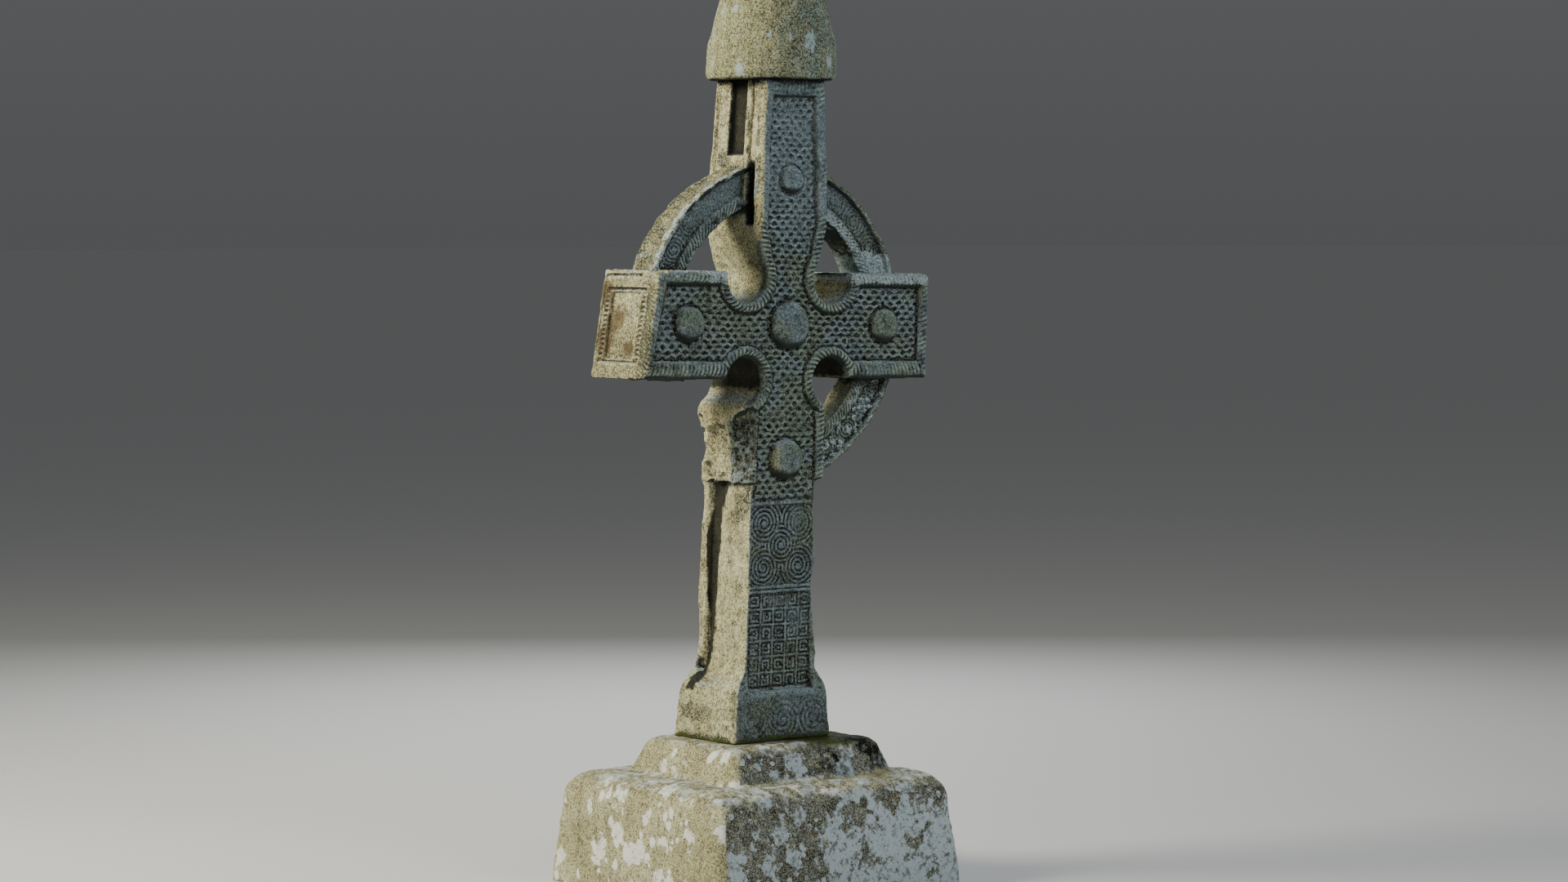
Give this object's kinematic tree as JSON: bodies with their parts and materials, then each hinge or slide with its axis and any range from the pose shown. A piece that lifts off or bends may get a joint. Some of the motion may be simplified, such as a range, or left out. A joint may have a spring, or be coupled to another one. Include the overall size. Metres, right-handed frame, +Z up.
{
  "type": "ringed cross memorial",
  "caption": "Free-standing stone cross with a ring through its arms, knotwork panels, domed bosses and cable mouldings, a round capstone and a stepped plinth.",
  "frame": {"origin": "on the ground under the middle of the plinth", "axes": "+Z up, -Y out of the carved front face, X along the arms"},
  "size_m": [1.4093, 1.112, 3.6163],
  "materials": {
    "plinth_stone": "tooled sandstone with pale lichen",
    "cross_stone": "carved sandstone, weathered, with grey-green lichen",
    "cap_stone": "rounded sandstone with yellow-green algae"
  },
  "bodies": {
    "root": {"plinth": "plinth_stone", "ringed_cross": "cross_stone", "capstone": "cap_stone"}
  },
  "joints": []
}
